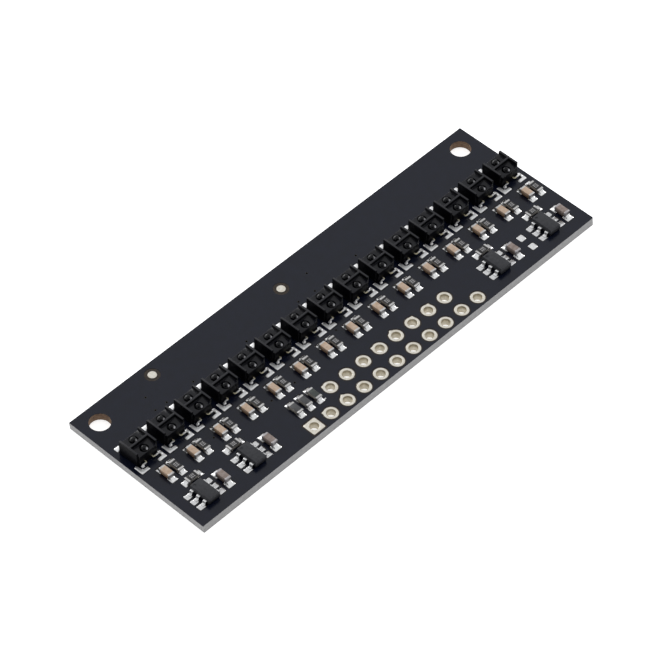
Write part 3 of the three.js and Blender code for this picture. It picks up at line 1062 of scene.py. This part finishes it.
DRIVER_HALF_X, DRIVER_HALF_Y = 0.8, 1.45
DRIVER_TOP = 0.88
DRIVER_WAIST = 0.465              # mid height of the widest part, where the leads come out
DRIVER_DRAFT = 0.07               # the body narrows by this to its top and foot
DRIVER_TOE = 1.40                 # end of a lead, from the driver centre
DRIVER_LEAD_T, DRIVER_LEAD_HALF_W = 0.13, 0.2


def driver_case():
    """Moulded body, drafted above and below its waist, with a round dimple on top."""
    narrow = (DRIVER_HALF_X - DRIVER_DRAFT, DRIVER_HALF_Y - DRIVER_DRAFT)
    wide = (DRIVER_HALF_X, DRIVER_HALF_Y)
    levels = [(0.05, *narrow), (DRIVER_WAIST - 0.075, *wide), (DRIVER_WAIST + 0.075, *wide),
              (DRIVER_TOP, *narrow)]
    verts = [p for z, a, b in levels for p in ((-a, -b, z), (a, -b, z), (a, b, z), (-a, b, z))]
    faces = [[3, 2, 1, 0], [12, 13, 14, 15]]
    for low in (0, 4, 8):
        for k in range(4):
            j = (k + 1) % 4
            faces.append([low + k, low + j, low + 4 + j, low + 4 + k])
    bm = to_bmesh(verts, faces)
    round_edges(bm, 25, 0.025)
    return dimple(*from_bmesh(bm), DRIVER_TOP, cx=-0.42, cy=1.03, r=0.17, depth=0.05, n=24,
                  taper=0.02)


def driver_lead():
    """Gull-wing lead on the +X side: level out of the body, down, then level on its land."""
    t, toe, foot = DRIVER_LEAD_T, DRIVER_TOE, 0.02
    low = DRIVER_WAIST - t / 2
    profile = [(0.66, low), (0.93, low), (0.985, low - 0.03), (1.055, 0.07), (1.115, foot),
               (toe, foot), (toe, foot + t), (1.16, foot + t), (1.125, foot + t + 0.03),
               (1.055, low + t - 0.03), (1.0, low + t), (0.66, low + t)]
    return extrude_profile(profile, -DRIVER_LEAD_HALF_W, DRIVER_LEAD_HALF_W, 0.012)


DRIVER_CASE, DRIVER_LEAD = driver_case(), driver_lead()


def driver(name):
    cx, cy = centre(name)
    shell = Shell().add(*DRIVER_CASE, 0, at=(cx, cy, TOP))
    for sx in (-1, 1):
        for k in (-1, 0, 1):
            shell.add(*DRIVER_LEAD, 1, at=(cx, cy + DRIVER_PITCH * k, TOP), mirror=(sx, 1))
    piece(name + "_body", shell, ["driver_epoxy", "lead_tin"], angle=40,
          replaces=[name])

    solder = Shell()
    for land in driver_lands(cx, cy):
        mid_y = (land[2] + land[3]) / 2

        def height(x, y, m, mid_y=mid_y):
            past_toe = max(0.0, abs(x - cx) - DRIVER_TOE)
            toe = max(0.0, 1 - past_toe / 0.40) ** 1.6
            side = max(0.0, 1 - max(0.0, abs(y - mid_y) - 0.13) / 0.2)
            fall = max(0.0, (m - 0.78) / 0.22)
            return SOLDER_EDGE + 0.035 * (1 - fall * fall) + 0.05 * toe * side ** 1.4

        solder.add(*pillow(*land, height, 12))
    piece(name + "_solder", solder, ["thin_solder"], angle=60)


for part in DRIVERS:
    driver(part)

# --------------------------------------------------------------------- sensors
# heights are above the board top

FLOOR, WALL = 1.43, 1.87          # floor of the lens wells, top of the walls
LENS_Y = 0.78                     # each lens from the centre, along Y
WELL_DEPTH = 0.16                 # round recess in the floor round each lens
# grid lines of the housing in plan, and the height of each cell, a row for each step in Y
HOUSING_XS = [-1.47, -1.215, 1.22, 1.47]
HOUSING_YS = [-1.4, -1.18, -0.05, 0.19, 1.46]
HOUSING_CELLS = [[None, FLOOR, None],
                 [WALL, FLOOR, WALL],
                 [WALL, WALL, WALL],
                 [WALL, FLOOR, WALL]]

HOUSING = height_solid(HOUSING_XS, HOUSING_YS, HOUSING_CELLS, 0.028)
for side in (-1, 1):
    HOUSING = dimple(*HOUSING, FLOOR, cx=0.0, cy=side * LENS_Y, r=0.55, depth=WELL_DEPTH, n=36,
                     taper=0.01)


def housing_mat(face):
    """0 well floors and small faces, 1 wall and divider tops, 2 upright faces; one plastic, with
    the tops painted lighter and the uprights painted darker as painted light and shade.
    """
    points = [Vector(HOUSING[0][k]) for k in face]
    low, high = min(p.z for p in points), max(p.z for p in points)
    if low > WALL - 0.004:
        return 1
    first = points[0]
    normal = sum(((a - first).cross(b - first) for a, b in zip(points[1:], points[2:])),
                 Vector()).normalized()
    return 2 if abs(normal.z) < 0.5 and high - low > 0.2 else 0


HOUSING_MATS = [housing_mat(face) for face in HOUSING[1]]


def lens_dome(r=0.47, top=0.29, base=-0.14, rings=11):
    """Dome standing in its well; heights are above the well floor's surround."""
    profile = [(0, -WELL_DEPTH), (r, -WELL_DEPTH), (r, base)]
    for i in range(1, rings):
        a = (math.pi / 2) * i / rings
        profile.append((r * math.cos(a), base + (top - base) * math.sin(a)))
    return lathe(profile + [(0, top)], 40)


LENS = lens_dome()

LEAD_Y, LEAD_Z = -1.63, 0.30
# By X side: x where the arm meets the foot, then (x, drop) points along the foot, then the
# x where it lands. x is measured outwards.
LEAD_FEET = {
    1: (0.80, [(1.0, 0), (1.22, 0), (1.32, 0.02), (1.385, 0.07), (1.415, 0.15)], 1.42),
    -1: (0.60, [(0.80, 0), (0.93, 0.015), (1.01, 0.06), (1.055, 0.14)], 1.07),
}


def sensor_lead(sx):
    """Front lead: straight out of the housing, sideways, then down to the land."""
    y, z = LEAD_Y, LEAD_Z
    meet, bends, landing = LEAD_FEET[sx]
    arm = [(0.50, -1.30, z), (0.50, -1.50, z), (0.505, -1.57, z), (0.535, -1.62, z),
           (0.58, y, z), (meet, y, z)]
    foot = [(meet - 0.02, y, z)] + [(x, y, z - drop) for x, drop in bends] + [(landing, y, 0.03)]
    return Shell().add(*wire(arm, 0.078, 0.055), 0).add(*wire(foot, 0.085, 0.055), 1)


LEADS = {sx: sensor_lead(sx) for sx in (1, -1)}


def sensor_solder(name, cx, cy):
    shell = Shell()
    flat = mound(0.065, 8)

    def leg_height(x, y, m):
        """Flat, with a peak where the foot of the +X lead comes down."""
        off_u = max(0.0, abs(x - cx - 1.45) - 0.05)
        off_w = max(0.0, abs(cy - y - 1.62) - 0.05)
        climb = max(0.0, 1 - math.hypot(off_u, off_w) / 0.22) ** 1.5
        return flat(x, y, m) + 0.20 * climb * (1 - m ** 10)

    for sx, sy, w_end in SENSOR_LANDS:
        def bar(u0, u1, w0, w1, height, steps, squareness=8):
            x0, x1 = sorted((cx + sx * u0, cx + sx * u1))
            y0, y1 = sorted((cy + sy * w0, cy + sy * w1))
            shell.add(*pillow(x0, x1, y0, y1, height, steps, squareness))

        if sy > 0:
            bar(BACK_LAND_U0, BACK_LAND_U1, BACK_LAND_W0, w_end, mound(0.10, 2.6), 14)
            continue
        u0, u1, w0, leg_u = L_LAND[sx]
        bar(leg_u, u1, w0, w_end, leg_height if sx > 0 else flat, 22)
        bar(u0, u1 - 0.02, w_end - L_BAR_W, w_end, flat, 14)
        if sx < 0:
            # fill of the inner corner, then solder drawn up under the lead
            bar(leg_u - 0.15, leg_u + 0.15, w_end - 0.60, w_end - 0.2, mound(0.064, 8), 10)
            bar(0.83, 1.21, 1.41, 1.80, mound(0.17, 6, edge=TOP - 0.002), 14, squareness=3.2)
    piece(name + "_solder", shell, ["soft_solder"], angle=60)


def sensor(name):
    cx, cy = centre(name)
    piece(name + "_housing", Shell().add(*HOUSING, HOUSING_MATS, at=(cx, cy, TOP)),
          ["sensor_housing", "sensor_housing_rim", "sensor_housing_side"],
          angle=40, replaces=[name])
    lenses = Shell()
    for s in (-1, 1):
        lenses.add(*LENS, at=(cx, cy + s * LENS_Y, TOP + FLOOR))
    piece(name + "_lenses", lenses, ["sensor_lens"], angle=60)
    leads = Shell()
    for sy in (-1, 1):
        for sx in (-1, 1):
            lead = LEADS[sx]
            leads.add(lead.verts, lead.faces, lead.mats, at=(cx, cy, TOP), mirror=(sx, -sy))
    piece(name + "_leads", leads, ["soft_gold", "soft_tin"], angle=45)
    sensor_solder(name, cx, cy)


for part in SENSORS:
    sensor(part)

# ----------------------------------------------------------------------- stage
# metres


def white_floor():
    half = 3
    mesh = bpy.data.meshes.new("floor")
    mesh.from_pydata([(-half, -half, 0), (half, -half, 0), (half, half, 0), (-half, half, 0)],
                     [], [(0, 1, 2, 3)])
    floor = bpy.data.objects.new("floor", mesh)
    floor.location = (0, 0, -0.00002)
    bpy.context.scene.collection.objects.link(floor)
    mat = bpy.data.materials.new("floor_white")
    mat.use_nodes = True
    tree = mat.node_tree
    bsdf = tree.nodes["Principled BSDF"]
    bsdf.inputs["Base Color"].default_value = (0.9, 0.9, 0.9, 1)
    bsdf.inputs["Roughness"].default_value = 0.9
    bsdf.inputs["Emission Color"].default_value = (1, 1, 1, 1)
    # the floor glows a little more to the camera than to the parts
    light_path = tree.nodes.new("ShaderNodeLightPath")
    glow = map_range(tree, light_path.outputs["Is Camera Ray"], to_min=0.55, to_max=0.72)
    tree.links.new(glow, bsdf.inputs["Emission Strength"])
    mesh.materials.append(mat)


def tent_world():
    """White tent: brighter overhead and low over the +Y side, dark round the camera."""
    world = bpy.data.worlds.new("tent")
    bpy.context.scene.world = world
    world.use_nodes = True
    tree = world.node_tree
    tree.nodes.clear()
    output = tree.nodes.new("ShaderNodeOutputWorld")
    background = tree.nodes.new("ShaderNodeBackground")
    view = tree.nodes.new("ShaderNodeTexCoord").outputs["Generated"]

    def glow(direction, **ends):
        return map_range(tree, dot_with(tree, view, direction), smooth=True, **ends)

    def combine(operation, a, b):
        node = tree.nodes.new("ShaderNodeMath")
        node.operation = operation
        tree.links.new(a, node.inputs[0])
        tree.links.new(b, node.inputs[1])
        return node.outputs[0]

    overhead = glow((0.18, 0.05, 0.95), from_min=-0.35, from_max=1.0, to_min=0.38, to_max=0.78)
    sweep = glow((-0.08, 0.99, 0.08), from_min=0.72, from_max=0.97, to_min=0.0, to_max=1.6)
    opening = glow((-0.485, -0.457, 0.7455), from_min=0.80, from_max=0.96,
                   to_min=1.0, to_max=0.12)
    strength = combine("MULTIPLY", combine("ADD", overhead, sweep), opening)
    tree.links.new(strength, background.inputs["Strength"])
    background.inputs["Color"].default_value = (0.98, 0.99, 1.0, 1)
    tree.links.new(background.outputs[0], output.inputs[0])


def disk_light(name, location, size, watts):
    """Round area light aimed at the origin."""
    light = bpy.data.lights.new(name, "AREA")
    light.shape = "DISK"
    light.size = size
    light.energy = watts
    obj = bpy.data.objects.new(name, light)
    obj.location = location
    obj.rotation_euler = (-Vector(location)).to_track_quat("-Z", "Y").to_euler()
    bpy.context.scene.collection.objects.link(obj)


def camera():
    """Long lens from above the front left corner."""
    data = bpy.data.cameras.new("camera")
    data.sensor_width = 36.0
    data.lens = 209.73
    data.clip_start = 0.02
    data.clip_end = 20
    data.shift_x = -0.00063636
    data.shift_y = 0.00057576
    obj = bpy.data.objects.new("camera", data)
    # axes of the camera in the scene
    right = (0.6919717, -0.7218901, 0.0070524)
    up = (0.5349642, 0.5193035, 0.6664362)
    backward = (-0.4847561, -0.4573822, 0.7455287)
    pose = Matrix((right, up, backward)).transposed().to_4x4()
    pose.translation = (-0.201258, -0.188889, 0.307722)
    obj.matrix_world = pose
    bpy.context.scene.collection.objects.link(obj)
    bpy.context.scene.camera = obj


white_floor()
tent_world()
disk_light("key_back", location=(0.08, 0.52, 0.26), size=0.24, watts=0.50)
disk_light("key_right", location=(0.50, -0.10, 0.32), size=0.17, watts=0.60)
camera()

view_settings = bpy.context.scene.view_settings
view_settings.view_transform = "Standard"
view_settings.look = "None"
view_settings.exposure = 0.0
view_settings.gamma = 1.0
